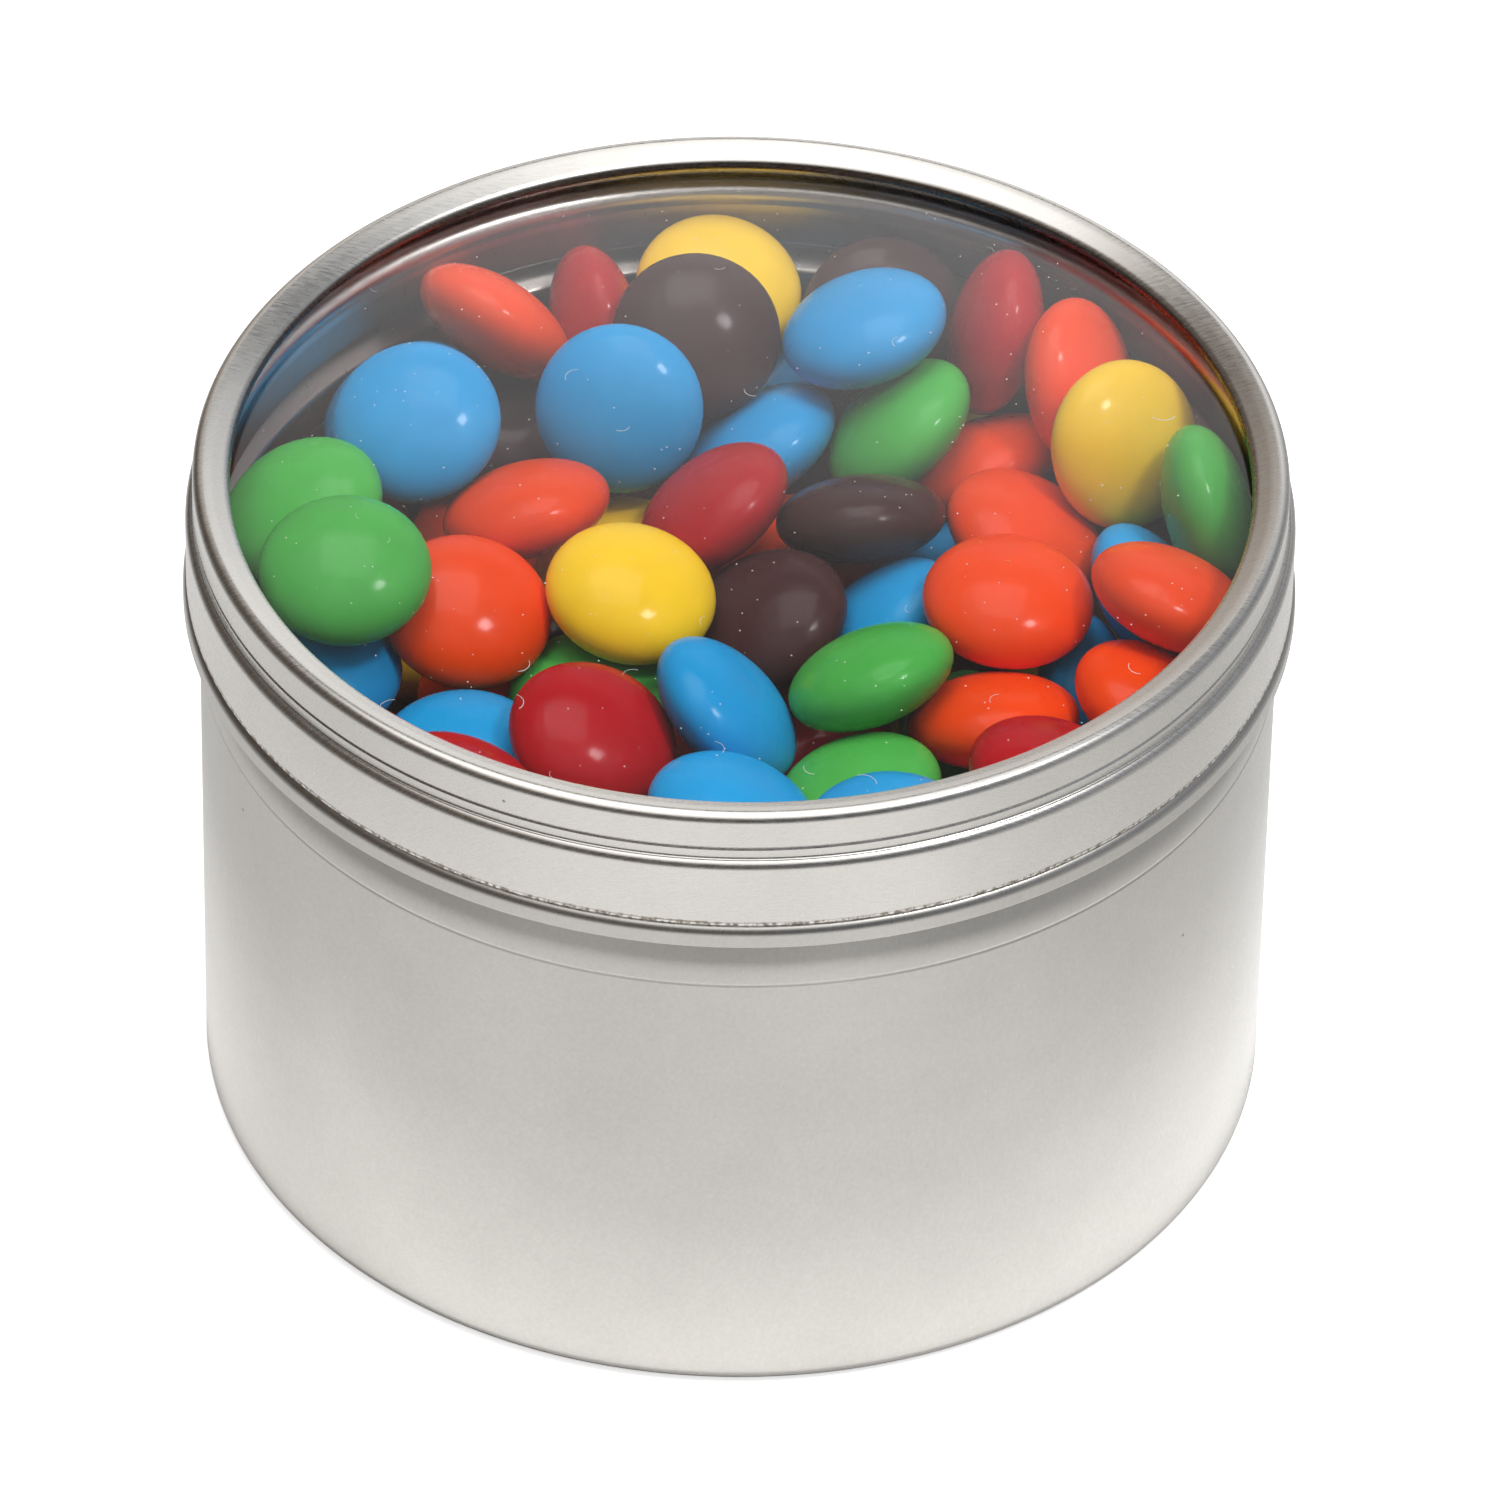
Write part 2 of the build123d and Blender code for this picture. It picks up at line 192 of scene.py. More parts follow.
def tinplate(name, colour, roughness, grain_way, grain_depth, crystal_depth):
    """Bare tinplate: straight rolling grain of the blank, fine tin crystals, mottling, specks."""
    relief_depth = 0.0000032
    finish, tree, shader, add = finish_nodes(name)
    blank = add("ShaderNodeUVMap", uv_map="blank").outputs[0]
    place = add("ShaderNodeTexCoord").outputs["Object"]
    squared = add("ShaderNodeVectorRotate", {"Vector": blank, "Angle": -grain_way},
                  rotation_type="Z_AXIS").outputs[0]
    drawn_out = add("ShaderNodeVectorMath", {0: squared, 1: (650, 5600, 1)},
                    operation="MULTIPLY").outputs[0]
    grain = add("ShaderNodeTexNoise", {"Vector": drawn_out, "Scale": 1.0, "Detail": 2.5,
                                       "Roughness": 0.6}).outputs["Fac"]
    crystals = add("ShaderNodeTexNoise", {"Vector": place, "Scale": 2600.0, "Detail": 2.0}).outputs["Fac"]
    cloud = add("ShaderNodeTexNoise", {"Vector": place, "Scale": 75.0, "Detail": 5.0,
                                       "Roughness": 0.6}).outputs["Fac"]
    speck = add("ShaderNodeTexVoronoi", {"Vector": place, "Scale": 130.0}).outputs["Distance"]
    shade = between(add, cloud, 0.3, 0.7, 0.96, 1.04)
    streak = between(add, grain, 0.3, 0.7, 1 - grain_depth, 1 + grain_depth)
    spark = between(add, crystals, 0.3, 0.7, 1 - crystal_depth, 1 + crystal_depth)
    dot = between(add, speck, 0.012, 0.024, 0.35, 1.0)
    gain = add("ShaderNodeMath", {0: shade, 1: streak}, operation="MULTIPLY").outputs[0]
    gain = add("ShaderNodeMath", {0: gain, 1: spark}, operation="MULTIPLY").outputs[0]
    gain = add("ShaderNodeMath", {0: gain, 1: dot}, operation="MULTIPLY").outputs[0]
    plain = add("ShaderNodeRGB")
    plain.outputs[0].default_value = (*colour, 1)
    tinted = add("ShaderNodeVectorMath", {0: plain.outputs[0], "Scale": gain},
                 operation="SCALE").outputs[0]
    rough = between(add, grain, 0.3, 0.7, roughness - 0.05, roughness + 0.05)
    relief = add("ShaderNodeMath", {0: crystals, 1: 0.4, 2: grain}, operation="MULTIPLY_ADD").outputs[0]
    bump = add("ShaderNodeBump", {"Height": relief, "Strength": 0.35, "Distance": relief_depth})
    tree.links.new(tinted, shader.inputs["Base Color"])
    tree.links.new(rough, shader.inputs["Roughness"])
    tree.links.new(bump.outputs[0], shader.inputs["Normal"])
    shader.inputs["Metallic"].default_value = 1.0
    return finish, tree, shader, add


curl_centre = (neck_radius - curl_inset + curl_radius, mouth_height + curl_rise - curl_radius)
body_path = rounded([
    (0, base_rise, 0), (body_radius - 4.4 * mm, base_rise, 0.5 * mm),
    (body_radius - 3.6 * mm, 0, 0.5 * mm), (body_radius, 0, 1.2 * mm),
    (body_radius, swage_height - 0.2 * mm, 0.2 * mm),
    (body_radius - swage_depth, swage_height, 0.2 * mm),
    (body_radius, swage_height + 0.2 * mm, 0.2 * mm), (body_radius, bead_top - 5.2 * mm, 7 * mm),
    (body_radius - waist_depth, bead_top - 2.72 * mm, 0.3 * mm),
    (bead_radius, bead_top - 1.65 * mm, 0.12 * mm), (bead_radius, bead_top + 0.15 * mm, 0.9 * mm),
    (neck_radius, bead_top + 0.4 * mm, 0.5 * mm), (neck_radius, curl_centre[1] - 0.9 * mm, 0.5 * mm),
    (curl_centre[0] - curl_radius + sheet, curl_centre[1] - 0.1 * mm, 0)])
body_path = rolled(body_path, curl_centre, curl_radius - sheet, 180, -140, 24)
tin = turned("drawn_tin", walled(body_path, sheet))
body_colour = (0.625, 0.605, 0.57)
inner_shade_colour = (0.26, 0.23, 0.20, 1)
body_finish, tree, shader, add = tinplate("body_tinplate", body_colour, 0.32, math.radians(-62),
                                          grain_depth=0.03, crystal_depth=0.03)
place = add("ShaderNodeTexCoord").outputs["Object"]
height = add("ShaderNodeSeparateXYZ", {0: place}).outputs["Z"]
on_curl = between(add, height, mouth_height - 1.6 * mm, mouth_height - 1.2 * mm, 0.0, 0.06)
rough = shader.inputs["Roughness"].links[0].from_socket
tree.links.new(add("ShaderNodeMath", {0: rough, 1: on_curl}).outputs[0], shader.inputs["Roughness"])
# Painted shade: inside the tin, below the curl, the wall's colour is mixed towards a dark colour.
level = add("ShaderNodeVectorMath", {0: place, 1: (1, 1, 0)}, operation="MULTIPLY").outputs[0]
way_out = add("ShaderNodeVectorMath", {0: add("ShaderNodeNewGeometry").outputs["Normal"], 1: level},
              operation="DOT_PRODUCT").outputs["Value"]
inside = between(add, way_out, -0.002, 0.0, 1.0, 0.0)
off_curl = between(add, height, mouth_height - 2.6 * mm, mouth_height - 2.0 * mm, 0.65, 0.0)
painted_inner_shade = add("ShaderNodeMath", {0: inside, 1: off_curl}, operation="MULTIPLY").outputs[0]
clean_tone = shader.inputs["Base Color"].links[0].from_socket
inner_shaded_tone = add("ShaderNodeMix", {"Factor": painted_inner_shade, 6: clean_tone, 7: inner_shade_colour},
             data_type="RGBA").outputs[2]
tree.links.new(inner_shaded_tone, shader.inputs["Base Color"])
tin.data.materials.append(body_finish)
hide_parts("tin_body")
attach(tin, "tin")


# Lid ring: a slip ring spun from the same tinplate. A lip is turned down round the window,
# its colour painted dark brown: a brown edge line, and painted shade where it faces into the
# dark tin. The flange runs over a rounded rim. A rolled crease in the collar holds the window
# up. Below a shoulder the skirt slides over the tin, its foot a raw cut edge.
skirt_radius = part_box("lid_ring")[1].x
lid_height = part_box("lid_ring")[1].z
skirt_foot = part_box("lid_ring")[0].z
collar_radius = skirt_radius - 0.6 * mm
flange_width = 2.9 * mm
opening_radius = collar_radius - flange_width
shoulder_height = mouth_height + 0.71 * mm
crease_height = shoulder_height + 0.82 * mm
crease_depth = 0.12 * mm
lip_gap = 0.9 * mm
lip_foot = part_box("lid_window")[1].z + lip_gap
lid_path = rounded([
    (opening_radius, lip_foot, 0), (opening_radius, lid_height - 0.82 * mm, 0.85 * mm),
    (opening_radius + 1.5 * mm, lid_height - 0.2 * mm, 2.5 * mm),
    (collar_radius, lid_height + 0.15 * mm, 0.75 * mm),
    (collar_radius, crease_height + 0.14 * mm, 0.08 * mm),
    (collar_radius - crease_depth, crease_height, 0.05 * mm),
    (collar_radius, crease_height - 0.16 * mm, 0.08 * mm),
    (collar_radius, shoulder_height - 0.1 * mm, 0.25 * mm),
    (skirt_radius, shoulder_height - 0.385 * mm, 0.82 * mm), (skirt_radius, skirt_foot, 0)])
ring = turned("slip_lid_ring", walled(lid_path, -sheet), sides=360)
ring_colour = (0.80, 0.775, 0.73)
burr_dark, burr_bright = (0.30, 0.26, 0.22, 1), (0.95, 0.93, 0.88, 1)
stain_colour = (0.17, 0.12, 0.085, 1)
lip_edge_and_shade_colour = (0.13, 0.09, 0.065, 1)
ring_finish, tree, shader, add = tinplate("ring_tinplate", ring_colour, 0.29, math.radians(4),
                                          grain_depth=0.05, crystal_depth=0.012)
place = add("ShaderNodeTexCoord").outputs["Object"]
height = add("ShaderNodeSeparateXYZ", {0: place}).outputs["Z"]
level = add("ShaderNodeVectorMath", {0: place, 1: (1, 1, 0)}, operation="MULTIPLY").outputs[0]
from_axis = add("ShaderNodeVectorMath", {0: level}, operation="LENGTH").outputs["Value"]
ragged = add("ShaderNodeTexNoise", {"Vector": place, "Scale": 2300.0, "Detail": 3.0}).outputs["Fac"]
drift = add("ShaderNodeTexNoise", {"Vector": place, "Scale": 150.0, "Detail": 3.0}).outputs["Fac"]
wander = between(add, ragged, 0.35, 0.65, -0.05 * mm, 0.05 * mm)
edge_height = add("ShaderNodeMath", {0: height, 1: wander}).outputs[0]
burr = between(add, edge_height, skirt_foot + 0.22 * mm, skirt_foot + 0.28 * mm, 1.0, 0.0)
stain = between(add, edge_height, skirt_foot + 0.31 * mm, skirt_foot + 0.38 * mm, 1.0, 0.0)
fleck = between(add, ragged, 0.42, 0.62, 0.0, 1.0)
edge_tone = add("ShaderNodeMix", {"Factor": fleck, 6: burr_dark, 7: burr_bright},
                data_type="RGBA").outputs[2]
clean_tone = shader.inputs["Base Color"].links[0].from_socket
stain_here = add("ShaderNodeMath", {0: stain, 1: between(add, drift, 0.35, 0.65, 0.1, 0.75)},
                 operation="MULTIPLY").outputs[0]
stained = add("ShaderNodeMix", {"Factor": stain_here, 6: clean_tone, 7: stain_colour},
              data_type="RGBA").outputs[2]
cut_edge = add("ShaderNodeMix", {"Factor": burr, 6: stained, 7: edge_tone}, data_type="RGBA").outputs[2]
# The lip's colour is painted dark brown: a brown edge line, and painted shade where the lip faces into
# the dark tin.
lip_edge_and_shade_mask = between(add, from_axis, opening_radius + 0.10 * mm, opening_radius + 0.22 * mm, 0.88, 0.0)
finished = add("ShaderNodeMix", {"Factor": lip_edge_and_shade_mask, 6: cut_edge, 7: lip_edge_and_shade_colour},
               data_type="RGBA").outputs[2]
tree.links.new(finished, shader.inputs["Base Color"])
ring.data.materials.append(ring_finish)
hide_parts("lid_ring")
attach(ring, "lid")


# Window: a flat disc cut from clear plastic sheet, held loosely between the lip and the
# crease. It is a little wavy, and handling has left a thin milky film on it.
window_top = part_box("lid_window")[1].z
window_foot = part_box("lid_window")[0].z
window_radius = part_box("lid_window")[1].x
wave_depth = 0.00004
least_film, most_film = 0.0005, 0.007
window_path = rounded([(0, window_top, 0), (window_radius, window_top, 0)])
window = turned("clear_window_disc", walled(window_path, window_foot - window_top), sides=192)
pane, tree, shader, add = finish_nodes("clear_plastic_with_film")
place = add("ShaderNodeTexCoord").outputs["Object"]
wave = add("ShaderNodeTexNoise", {"Vector": place, "Scale": 38.0, "Detail": 1.5}).outputs["Fac"]
waviness = add("ShaderNodeBump", {"Height": wave, "Strength": 1.0, "Distance": wave_depth}).outputs[0]
smear = add("ShaderNodeTexNoise", {"Vector": place, "Scale": 26.0, "Detail": 4.0, "Distortion": 0.6})
film = between(add, smear.outputs["Fac"], 0.35, 0.7, least_film, most_film)
tree.links.new(waviness, shader.inputs["Normal"])
shader.inputs["Transmission Weight"].default_value = 1.0
shader.inputs["Base Color"].default_value = (0.97, 0.97, 0.98, 1)
shader.inputs["Roughness"].default_value = 0.02
shader.inputs["IOR"].default_value = 1.49
milk = add("ShaderNodeBsdfDiffuse", {"Color": (0.82, 0.80, 0.84, 1)}).outputs[0]
filmed = add("ShaderNodeMixShader", {0: film, 1: shader.outputs[0], 2: milk}).outputs[0]
rays = add("ShaderNodeLightPath").outputs
passing = add("ShaderNodeMath", {0: rays["Is Shadow Ray"], 1: rays["Is Diffuse Ray"]},
              operation="MAXIMUM")
see_through = add("ShaderNodeBsdfTransparent", {"Color": (0.93, 0.93, 0.94, 1)}).outputs[0]
mixed = add("ShaderNodeMixShader", {0: passing.outputs[0], 1: filmed, 2: see_through})
tree.links.new(mixed.outputs[0], tree.nodes["Material Output"].inputs["Surface"])
window.data.materials.append(pane)
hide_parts("lid_window")
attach(window, "lid")


# Dust: pale specks and a few short fibres that have settled on the window. They are scattered
# over its upper face, inside the lid's opening, and lie on it.
speck_radius = 0.06 * mm
fibre_radius = 0.02 * mm
fibre_bend = 0.7 * mm
specks_per_area = 60000.0
fibres_per_area = 5500.0
full_turn = 6.283


def dust_tree():
    """Node tree that scatters small flattened grains and curled fibres over a disc."""
    tree = bpy.data.node_groups.new("settled_dust", "GeometryNodeTree")
    face = tree.interface
    face.new_socket("Geometry", in_out="INPUT", socket_type="NodeSocketGeometry")
    for title, kind, value in (("Speck Radius", "NodeSocketFloat", speck_radius),
                               ("Fibre Radius", "NodeSocketFloat", fibre_radius),
                               ("Fibre Bend", "NodeSocketFloat", fibre_bend),
                               ("Specks per Area", "NodeSocketFloat", specks_per_area),
                               ("Fibres per Area", "NodeSocketFloat", fibres_per_area),
                               ("Seed", "NodeSocketInt", 7)):
        face.new_socket(title, in_out="INPUT", socket_type=kind).default_value = value
    face.new_socket("Dust", in_out="INPUT", socket_type="NodeSocketMaterial")
    face.new_socket("Geometry", in_out="OUTPUT", socket_type="NodeSocketGeometry")

    add = adder(tree)
    given = add("NodeGroupInput").outputs
    spin = add("FunctionNodeRandomValue", {0: (0, 0, 0), 1: (0, 0, full_turn), "Seed": given["Seed"]},
               data_type="FLOAT_VECTOR").outputs[0]
    size = add("FunctionNodeRandomValue", {2: 0.25, 3: 1.6, "Seed": given["Seed"]}).outputs[1]
    flat = add("ShaderNodeCombineXYZ", {"X": size, "Y": 1.0, "Z": 0.5}).outputs[0]
    grain = add("GeometryNodeMeshIcoSphere", {"Radius": given["Speck Radius"], "Subdivisions": 1})
    grains = add("GeometryNodeDistributePointsOnFaces", {"Mesh": given["Geometry"],
                                                         "Density": given["Specks per Area"],
                                                         "Seed": given["Seed"]})
    lying = add("GeometryNodeInstanceOnPoints", {"Points": grains.outputs[0],
                                                 "Instance": grain.outputs[0],
                                                 "Rotation": spin, "Scale": flat})
    arc = add("GeometryNodeCurveArc", {"Resolution": 9, "Radius": given["Fibre Bend"],
                                       "Sweep Angle": 1.9})
    hair = add("GeometryNodeCurvePrimitiveCircle", {"Resolution": 3, "Radius": given["Fibre Radius"]})
    thread = add("GeometryNodeCurveToMesh", {"Curve": arc.outputs[0],
                                             "Profile Curve": hair.outputs[0]})
    ends = add("GeometryNodeDistributePointsOnFaces", {"Mesh": given["Geometry"],
                                                       "Density": given["Fibres per Area"], "Seed": 3})
    strewn = add("GeometryNodeInstanceOnPoints", {"Points": ends.outputs[0],
                                                  "Instance": thread.outputs[0],
                                                  "Rotation": spin, "Scale": size})
    both = add("GeometryNodeJoinGeometry")
    tree.links.new(lying.outputs[0], both.inputs[0])
    tree.links.new(strewn.outputs[0], both.inputs[0])
    real = add("GeometryNodeRealizeInstances", {"Geometry": both.outputs[0]})
    dressed = add("GeometryNodeSetMaterial", {"Geometry": real.outputs[0], "Material": given["Dust"]})
    add("NodeGroupOutput", {"Geometry": dressed.outputs[0]})
    return tree


def made_plain(holder, name):
    """A plain mesh object of what a holder's modifier gives. The holder is removed."""
    evaluated = holder.evaluated_get(bpy.context.evaluated_depsgraph_get())
    piece = bpy.data.objects.new(name, bpy.data.meshes.new_from_object(evaluated))
    bpy.context.scene.collection.objects.link(piece)
    bpy.data.objects.remove(holder)
    return piece


dust_finish, tree, shader, add = finish_nodes("pale_dust")
place = add("ShaderNodeTexCoord").outputs["Object"]
tone = add("ShaderNodeTexNoise", {"Vector": place, "Scale": 900.0}).outputs["Fac"]
greys = add("ShaderNodeMix", {"Factor": tone, 6: (0.45, 0.43, 0.42, 1), 7: (0.95, 0.94, 0.92, 1)},
            data_type="RGBA").outputs[2]
tree.links.new(greys, shader.inputs["Base Color"])
shader.inputs["Roughness"].default_value = 0.8
bed_radius = opening_radius - 1.2 * mm
bed = bpy.data.meshes.new("dust_bed")
bed_sides = 64
bed_turns = [2 * math.pi * k / bed_sides for k in range(bed_sides)]
bed_rim = [(bed_radius * math.cos(a), bed_radius * math.sin(a), window_top) for a in bed_turns]
bed.from_pydata(bed_rim, [], [tuple(range(bed_sides))])
holder = bpy.data.objects.new("dust_holder", bed)
bpy.context.scene.collection.objects.link(holder)
settling = dust_tree()
modifier = holder.modifiers.new("settling", "NODES")
modifier.node_group = settling
dust_socket = [item.identifier for item in settling.interface.items_tree if item.name == "Dust"][0]
modifier[dust_socket] = dust_finish
dust = made_plain(holder, "window_dust")
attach(dust, "lid")


# Sweets: pressed chocolate lenses panned in a coloured sugar shell and polished with wax. They
# lie loose in the tin, each where the frame has it, turned as its flat faces are there.
sweet_diameter = 13.4 * mm
sweet_thickness = 6.9 * mm
shells = {
    "red": (0.45, 0.006, 0.010), "orange": (0.86, 0.060, 0.002), "yellow": (0.93, 0.58, 0.016),
    "green": (0.07, 0.42, 0.066), "blue": (0.013, 0.32, 0.66), "brown": (0.052, 0.020, 0.018)}


def loose_sweets(node):
    """Centre, face direction and whether it shows, for each solid in a node's mesh, in its order."""
    bm = bmesh.new()
    bm.from_mesh(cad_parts[node].data)
    bmesh.ops.remove_doubles(bm, verts=bm.verts, dist=0.001 * mm)
    left = set(bm.verts)
    found = []
    for start in bm.verts:
        if start not in left:
            continue
        left.remove(start)
        group, waiting = [], [start]
        while waiting:
            vert = waiting.pop()
            group.append(vert)
            for edge in vert.link_edges:
                other = edge.other_vert(vert)
                if other in left:
                    left.remove(other)
                    waiting.append(other)
        corners = np.array([vert.co[:] for vert in group])
        centre = corners.mean(0)
        spread = np.linalg.eigh(np.cov((corners - centre).T))
        found.append((Vector(centre), Vector(spread[1][:, 0]), len(group) > 12))
    bm.free()
    return found


def sweets_tree():
    """Node tree that sets a lens on every point, turned to the point's own direction."""
    tree = bpy.data.node_groups.new("poured_sweets", "GeometryNodeTree")
    face = tree.interface
    face.new_socket("Geometry", in_out="INPUT", socket_type="NodeSocketGeometry")
    for title, kind, value in (("Diameter", "NodeSocketFloat", sweet_diameter),
                               ("Thickness", "NodeSocketFloat", sweet_thickness),
                               ("Shown Sides", "NodeSocketInt", 48),
                               ("Hidden Sides", "NodeSocketInt", 12),
                               ("Unevenness", "NodeSocketFloat", 0.05 * mm),
                               ("Seed", "NodeSocketInt", 4)):
        face.new_socket(title, in_out="INPUT", socket_type=kind).default_value = value
    face.new_socket("Shell", in_out="INPUT", socket_type="NodeSocketMaterial")
    face.new_socket("Geometry", in_out="OUTPUT", socket_type="NodeSocketGeometry")

    add = adder(tree)
    given = add("NodeGroupInput").outputs
    direction = add("GeometryNodeInputNamedAttribute", {"Name": "facing"}, data_type="FLOAT_VECTOR")
    shows = add("GeometryNodeInputNamedAttribute", {"Name": "shows"}, data_type="BOOLEAN")
    lean = add("FunctionNodeAlignRotationToVector", {"Vector": direction.outputs["Attribute"]}, axis="Z")
    size = add("ShaderNodeCombineXYZ", {"X": given["Diameter"], "Y": given["Diameter"],
                                        "Z": given["Thickness"]})
    heaps = add("GeometryNodeJoinGeometry")
    hides = add("FunctionNodeBooleanMath", {0: shows.outputs["Attribute"]}, operation="NOT")
    for sides, chosen in ((given["Shown Sides"], shows.outputs["Attribute"]),
                          (given["Hidden Sides"], hides.outputs[0])):
        rings = add("ShaderNodeMath", {0: sides, 1: 2.0}, operation="DIVIDE")
        ball = add("GeometryNodeMeshUVSphere", {"Segments": sides, "Rings": rings.outputs[0],
                                                "Radius": 0.5})
        lens = add("GeometryNodeTransform", {"Geometry": ball.outputs["Mesh"], "Scale": size.outputs[0]})
        smooth = add("GeometryNodeSetShadeSmooth", {"Geometry": lens.outputs[0]})
        put = add("GeometryNodeInstanceOnPoints", {"Points": given["Geometry"], "Selection": chosen,
                                                   "Instance": smooth.outputs[0],
                                                   "Rotation": lean.outputs[0]})
        tree.links.new(put.outputs[0], heaps.inputs[0])
    tone = add("FunctionNodeRandomValue", {"Seed": given["Seed"]})
    toned = add("GeometryNodeStoreNamedAttribute", {"Geometry": heaps.outputs[0], "Name": "tone",
                                                    "Value": tone.outputs["Value"]},
                data_type="FLOAT", domain="INSTANCE")
    real = add("GeometryNodeRealizeInstances", {"Geometry": toned.outputs[0]})
    lumps = add("ShaderNodeTexNoise", {"Scale": 170.0, "Detail": 1.0})
    level = add("ShaderNodeMath", {0: lumps.outputs["Fac"], 1: 0.5}, operation="SUBTRACT")
    rise = add("ShaderNodeMath", {0: level.outputs[0], 1: given["Unevenness"]}, operation="MULTIPLY")
    out = add("GeometryNodeInputNormal")
    push = add("ShaderNodeVectorMath", {0: out.outputs[0], "Scale": rise.outputs[0]}, operation="SCALE")
    moved = add("GeometryNodeSetPosition", {"Geometry": real.outputs[0], "Offset": push.outputs[0]})
    dressed = add("GeometryNodeSetMaterial", {"Geometry": moved.outputs[0], "Material": given["Shell"]})
    add("NodeGroupOutput", {"Geometry": dressed.outputs[0]})
    return tree


def sugar_shell(name, colour):
    """Panned sugar: even colour, a slightly paler tone on some, faint pits and a wax polish."""
    finish, tree, shader, add = finish_nodes(name)
    place = add("ShaderNodeTexCoord").outputs["Object"]
    tone = add("ShaderNodeAttribute", attribute_name="tone").outputs["Fac"]
    cloud = add("ShaderNodeTexNoise", {"Vector": place, "Scale": 220.0, "Detail": 3.0}).outputs["Fac"]
    tone_gain = between(add, tone, 0.0, 1.0, 0.92, 1.1)
    cloud_gain = between(add, cloud, 0.3, 0.7, 0.95, 1.05)
    gain = add("ShaderNodeMath", {0: tone_gain, 1: cloud_gain}, operation="MULTIPLY").outputs[0]
    plain = add("ShaderNodeRGB")
    plain.outputs[0].default_value = (*colour, 1)
    tinted = add("ShaderNodeVectorMath", {0: plain.outputs[0], "Scale": gain}, operation="SCALE")
    tree.links.new(tinted.outputs[0], shader.inputs["Base Color"])
    tree.links.new(between(add, cloud, 0.3, 0.7, 0.23, 0.31), shader.inputs["Roughness"])
    fine = add("ShaderNodeTexNoise", {"Vector": place, "Scale": 900.0, "Detail": 2.0}).outputs["Fac"]
    bump = add("ShaderNodeBump", {"Height": fine, "Strength": 0.12, "Distance": 0.00005})
    tree.links.new(bump.outputs[0], shader.inputs["Normal"])
    shader.inputs["Coat Weight"].default_value = 0.2
    shader.inputs["Coat Roughness"].default_value = 0.1
    shader.inputs["Specular IOR Level"].default_value = 0.04
    return finish


pour = sweets_tree()
sockets = {item.name: item.identifier for item in pour.interface.items_tree if item.in_out == "INPUT"}
for colour, tint in shells.items():
    sweets = loose_sweets("sweets_" + colour)
    spots = bpy.data.meshes.new("spots_" + colour)
    spots.from_pydata([spot for spot, _, _ in sweets], [], [])
    facing = spots.attributes.new("facing", "FLOAT_VECTOR", "POINT")
    shows = spots.attributes.new("shows", "BOOLEAN", "POINT")
    for k, (_, direction, shown) in enumerate(sweets):
        facing.data[k].vector = direction
        shows.data[k].value = shown
    holder = bpy.data.objects.new("holder_" + colour, spots)
    bpy.context.scene.collection.objects.link(holder)
    modifier = holder.modifiers.new("pour", "NODES")
    modifier.node_group = pour
    modifier[sockets["Shell"]] = sugar_shell(colour + "_sugar_shell", tint)
    heap = made_plain(holder, colour + "_sweets")
    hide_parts("sweets_" + colour)
    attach(heap, "tin")


# Floor: white paper. What the tin mirrors of it glows close to the foot, a painted glow seen
# only in mirrored rays, is darker further out to both sides, and ends towards the camera in the
# dark room. The camera sees it white.
foot_radius = 0.0435
glow_radius = 0.067
glow_strength = 0.75
least_dark = 0.12
camera_lift = 0.62
reach = 3.0
floor_mesh = bpy.data.meshes.new("studio_floor")
floor_mesh.from_pydata([(-reach, -reach, 0), (reach, -reach, 0), (reach, reach, 0), (-reach, reach, 0)],
                       [], [(0, 1, 2, 3)])
floor = bpy.data.objects.new("studio_floor", floor_mesh)
bpy.context.scene.collection.objects.link(floor)
paper, tree, shader, add = finish_nodes("white_paper")
shader.inputs["Base Color"].default_value = (0.8, 0.8, 0.8, 1)
shader.inputs["Roughness"].default_value = 0.9
place = add("ShaderNodeTexCoord").outputs["Object"]
spot = add("ShaderNodeSeparateXYZ", {0: place}).outputs
rays = add("ShaderNodeLightPath").outputs
mirrored = add("ShaderNodeMath", {0: rays["Is Glossy Ray"], 1: rays["Is Transmission Ray"]},
               operation="MAXIMUM").outputs[0]
far_front = between(add, spot["Y"], -0.26, -0.17, 0.8, least_dark)
far_left = between(add, spot["X"], -0.20, -0.055, 0.78, least_dark)
far_right = between(add, spot["X"], 0.05, 0.12, least_dark, 0.64)
far_side = add("ShaderNodeMath", {0: far_right, 1: far_left}, operation="MAXIMUM").outputs[0]
far_off = add("ShaderNodeMath", {0: far_front, 1: far_side}, operation="MAXIMUM").outputs[0]
unlit = add("ShaderNodeMath", {0: mirrored, 1: far_off}, operation="MULTIPLY").outputs[0]
from_tin = add("ShaderNodeVectorMath", {0: place}, operation="LENGTH").outputs["Value"]
# Painted light: near the foot the paper glows for mirrored rays, fading out away from the tin; in the
# last millimetre at the foot it stays unlit.
near_tin = between(add, from_tin, foot_radius, glow_radius, glow_strength, 0.0)
off_foot = between(add, from_tin, foot_radius - 1 * mm, foot_radius, 0.0, 1.0)
near_glow = add("ShaderNodeMath", {0: mirrored, 1: near_tin}, operation="MULTIPLY").outputs[0]
near_glow = add("ShaderNodeMath", {0: near_glow, 1: off_foot}, operation="MULTIPLY").outputs[0]
seen_lift = add("ShaderNodeMath", {0: rays["Is Camera Ray"], 1: camera_lift, 2: near_glow},
                operation="MULTIPLY_ADD").outputs[0]
glow = add("ShaderNodeEmission", {"Color": (1, 1, 1, 1), "Strength": seen_lift}).outputs[0]
lit = add("ShaderNodeAddShader", {0: shader.outputs[0], 1: glow}).outputs[0]
dark = add("ShaderNodeBsdfDiffuse", {"Color": (0.02, 0.02, 0.02, 1)}).outputs[0]
